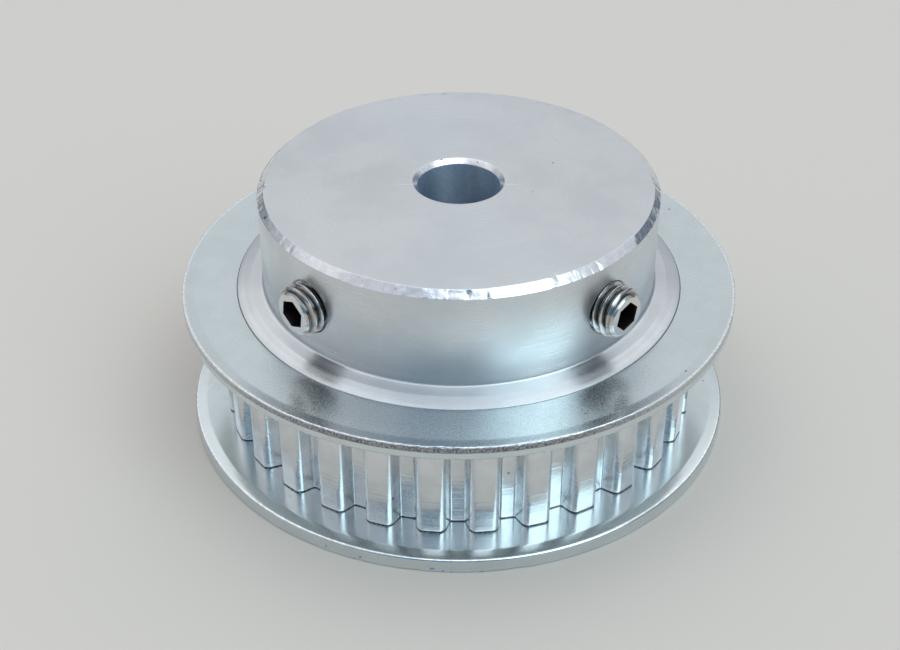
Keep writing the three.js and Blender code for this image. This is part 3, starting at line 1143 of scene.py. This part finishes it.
def filed_aluminium():
    material, tree, shader, position = new_metal("filed_aluminium", 0.16)
    clouds = effect(tree, "cloudy_patches", position, Patch_size=0.9, Grain_size=0.12)
    scratches = effect(tree, "hairline_scratches", position, Turn=0.2, Amount=0.6)["Scratches"]
    specks = effect(tree, "dark_specks", position, Cell_size=0.9, Speck_size=0.22,
                    Share_of_cells=0.12)["Specks"]
    colour = blend_colours(tree, clouds["Patches"], (0.90, 0.905, 0.93), (0.78, 0.79, 0.82))
    colour = blend_colours(tree, scratches, colour, (0.98, 0.98, 0.99))
    colour = blend_colours(tree, specks, colour, (0.10, 0.10, 0.11))
    tree.links.new(colour, shader.inputs["Base Color"])
    gloss = ramp(tree, clouds["Grain"], 0.3, 0.7, 0.12, 0.26)
    tree.links.new(gloss, shader.inputs["Roughness"])
    add_bump(tree, shader, [(clouds["Patches"], 0.006), (clouds["Grain"], 0.003)])
    return material


# %% [markdown]
# ## Where the body's three finishes meet
#
# The body is one skin, so its finishes are told apart face by face. The hobbed rim is known by
# its place, outside the seats and between the flanges. The two filed edges are known by their
# slope, because only they lean at the top of the hub, and the slope follows every facet and dent
# of the worn chamfer where a fixed height could not.

# %% Places of the three finishes
RIM_SLOT = 1
EDGE_SLOT = 2
EDGE_SLOPES = (0.15, 0.93)
EDGE_REACH = 1.0


def give_finishes(piece):
    """Puts the faces of the toothed rim and of the two filed edges in their own slots."""
    rim, edge = 0, 0
    for face in piece.data.polygons:
        centre = face.center / MM
        radius = math.hypot(centre.x, centre.y)
        if radius > SEAT_RADIUS + 0.02 and teeth_bottom - 0.01 < centre.z < teeth_top + 0.01:
            face.material_index = RIM_SLOT
            rim += 1
        if EDGE_SLOPES[0] < face.normal.z < EDGE_SLOPES[1] and centre.z > height - EDGE_REACH:
            face.material_index = EDGE_SLOT
            edge += 1
    print(f"{rim} faces of the rim are hobbed, {edge} faces of two edges are filed")


# %% [markdown]
# ## Zinc plate
#
# Bright zinc is a thin plated layer with a cool, faintly green cast. It copies the sheet under
# it, which is rolled and slightly grainy, so its reflections are clear in shape but mottled.
# The upper flange has been handled more and is the duller of the two. The corners of both are
# burnished where they rub, so they are glossier, and a painted highlight makes their colour
# nearly white. The torn half of the upper rim holds dark dirt.

# %% Zinc plate


def torn_rim_mask(tree, position):
    """1 on the torn part of the upper flange's rim, fading out away from the worst side."""
    radius, level = radius_and_level(tree, position)
    low = upper_flat_bottom + BEND_RISE + SHEET * (1 - TEAR_SHARE)
    on_rim = ramp(tree, radius, flange_radius - 0.3, flange_radius - 0.16)
    in_band = ramp(tree, level, low, low + 0.1)
    below_edge = ramp(tree, level, height_of_rim - 0.2, height_of_rim - 0.11, 1.0, 0.0)
    forward = add_node(tree, "ShaderNodeVectorMath", {0: position, 1: facing(WORST_SIDE, 0)},
                       operation="DOT_PRODUCT").outputs["Value"]
    near = ramp(tree, forward, flange_radius * 0.55, flange_radius * 0.97, 0.35, 1.0)
    mask = maths(tree, "MULTIPLY", on_rim, maths(tree, "MULTIPLY", in_band, below_edge))
    return maths(tree, "MULTIPLY", mask, near)


def burnish_and_highlight_corners(tree, position):
    """1 on the corners between the flat sides and the rim of both flanges, where a highlight is painted.
    """
    radius, level = radius_and_level(tree, position)
    outside = ramp(tree, radius, flange_radius - 0.34, flange_radius - 0.2)
    total = None
    for corner in (height_of_rim, lower_flat_top - BEND_RISE):
        away = maths(tree, "ABSOLUTE", maths(tree, "SUBTRACT", level, corner))
        near = ramp(tree, away, 0.08, 0.17, 1.0, 0.0)
        total = near if total is None else maths(tree, "ADD", total, near)
    return maths(tree, "MULTIPLY", outside, total, clamp=True)


def zinc_plate():
    material, tree, shader, position = new_metal("zinc_plate", 0.2)
    clouds = effect(tree, "cloudy_patches", position, Patch_size=3.5, Grain_size=0.15)
    scratches = effect(tree, "hairline_scratches", position, Turn=1.9, Amount=0.5)["Scratches"]
    specks = effect(tree, "dark_specks", position, Cell_size=1.6, Speck_size=0.12,
                    Share_of_cells=0.10)["Specks"]
    tear = torn_rim_mask(tree, position)
    crumbs = effect(tree, "cloudy_patches", position, Patch_size=0.4, Grain_size=0.2)
    colour = blend_colours(tree, clouds["Patches"], (0.69, 0.75, 0.77), (0.655, 0.715, 0.73))
    colour = blend_colours(tree, scratches, colour, (0.86, 0.90, 0.90))
    colour = blend_colours(tree, specks, colour, (0.14, 0.15, 0.15))
    soot = maths(tree, "MULTIPLY", tear, ramp(tree, crumbs["Grain"], 0.35, 0.6, 1.0, 0.5))
    colour = blend_colours(tree, soot, colour, (0.14, 0.125, 0.15))
    # A painted highlight: near-white colour on the corners of both flanges, which are also made
    # glossier.
    burnish_and_painted_highlight = maths(tree, "MULTIPLY", burnish_and_highlight_corners(tree, position),
                   ramp(tree, crumbs["Patches"], 0.0, 1.0, 0.35, 1.0))
    colour = blend_colours(tree, burnish_and_painted_highlight, colour, (0.96, 0.97, 0.98))
    tree.links.new(colour, shader.inputs["Base Color"])
    level = radius_and_level(tree, position)[1]
    handled = ramp(tree, level, lower_flat_top + 1, upper_flat_bottom, 0.3, 1.0)
    gloss = ramp(tree, clouds["Grain"], 0.3, 0.7, 0.12, 0.23)
    gloss = maths(tree, "ADD", gloss, maths(tree, "MULTIPLY", handled, 0.08))
    gloss = maths(tree, "SUBTRACT", gloss, maths(tree, "MULTIPLY", burnish_and_painted_highlight, 0.08))
    tree.links.new(gloss, shader.inputs["Roughness"])
    grain_height = maths(tree, "MULTIPLY", clouds["Grain"], handled)
    torn_height = maths(tree, "MULTIPLY", crumbs["Grain"], tear)
    add_bump(tree, shader, [(grain_height, 0.0018), (torn_height, 0.06)])
    return material


# %% [markdown]
# ## Nickel plate
#
# The screws are plated brighter and warmer than the flanges. The thread roots are coloured much
# darker than the crests, and the socket darker still. The socket's end face is rubbed paler by the
# key. The distance from the screw's own axis, and the level along it, say where those places are.

# %% Nickel plate


def nickel_plate():
    material, tree, shader, position = new_metal("nickel_plate", 0.2)
    clouds = effect(tree, "cloudy_patches", position, Patch_size=1.2, Grain_size=0.12)
    scratches = effect(tree, "hairline_scratches", position, Turn=0.9, Amount=0.6)["Scratches"]
    radius, level = radius_and_level(tree, position)
    in_socket = maths(tree, "MULTIPLY", ramp(tree, radius, 1.46, 1.5, 1.0, 0.0),
                      ramp(tree, level, -0.25, -0.03, 1.0, 0.0))
    in_root = ramp(tree, radius, SCREW_ROOT + 0.05, SCREW_CREST - 0.06, 1.0, 0.0)
    on_thread = ramp(tree, radius, SCREW_ROOT - 0.35, SCREW_ROOT - 0.2)
    on_side = ramp(tree, level, -0.35, -0.2, 1.0, 0.0)
    in_root = maths(tree, "MULTIPLY", maths(tree, "MULTIPLY", in_root, on_thread), on_side)
    colour = blend_colours(tree, clouds["Patches"], (0.66, 0.65, 0.635), (0.52, 0.51, 0.495))
    colour = blend_colours(tree, scratches, colour, (0.88, 0.87, 0.86))
    end_face = ramp(tree, level, -0.07, -0.02)
    colour = blend_colours(tree, end_face, colour, (0.75, 0.745, 0.74))
    # The thread roots, and then the socket, are given much darker colours than the crests.
    root_darkening = maths(tree, "MULTIPLY", in_root, 0.9)
    colour = blend_colours(tree, root_darkening, colour, (0.13, 0.122, 0.12))
    colour = blend_colours(tree, in_socket, colour, (0.07, 0.06, 0.056))
    tree.links.new(colour, shader.inputs["Base Color"])
    gloss = ramp(tree, clouds["Grain"], 0.3, 0.7, 0.11, 0.22)
    gloss = maths(tree, "ADD", gloss, maths(tree, "MULTIPLY", in_socket, 0.3))
    tree.links.new(gloss, shader.inputs["Roughness"])
    add_bump(tree, shader, [(clouds["Grain"], 0.0015)])
    return material


# %% [markdown]
# ## Giving the metals out
#
# The body is turned aluminium first, and its hobbed rim and filed edges take the two slots after
# it. Both flanges share one zinc plate and both screws one nickel plate, because each pair comes
# out of the same bath. The noises run through the millimetres of each piece, so the two flanges
# still don't look alike.

# %% Give each piece its metal
for metal, pieces in (
    (turned_aluminium(), [body]),
    (zinc_plate(), [lower_ring, upper_ring]),
    (nickel_plate(), [left_screw, right_screw]),
):
    for piece in pieces:
        piece.data.materials.clear()
        piece.data.materials.append(metal)
    print(metal.name, "on", ", ".join(piece.name for piece in pieces))

body.data.materials.append(hobbed_aluminium())
body.data.materials.append(filed_aluminium())
give_finishes(body)

# %% [markdown]
# ## Hand the pieces to the frame
#
# Each fine piece takes the place of one plain CAD part and rides on that part's body. The flanges
# are pressed on, so they ride with the turned body. A set screw turns in and out of its hole, so
# each one rides on a body of its own and slides along its own axis.

# %% Ride on the CAD bodies
for piece, rides_on, node, slot in (
    (body, "pulley", "pulley_body", "turned_aluminium"),
    (lower_ring, "pulley", "lower_flange", "zinc_plated_steel"),
    (upper_ring, "pulley", "upper_flange", "zinc_plated_steel"),
    (left_screw, "left_screw", "left_set_screw", "nickel_plated_steel"),
    (right_screw, "right_screw", "right_set_screw", "nickel_plated_steel"),
):
    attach(piece, rides_on)
    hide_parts(node)

# %% [markdown]
# ## The box of the CAD parts
#
# The fine meshes may not grow past the sizes that were settled first. The box of the CAD parts was
# kept at the start, and the last step prints it.

# %% Print the CAD box
print("CAD box", cad_box)
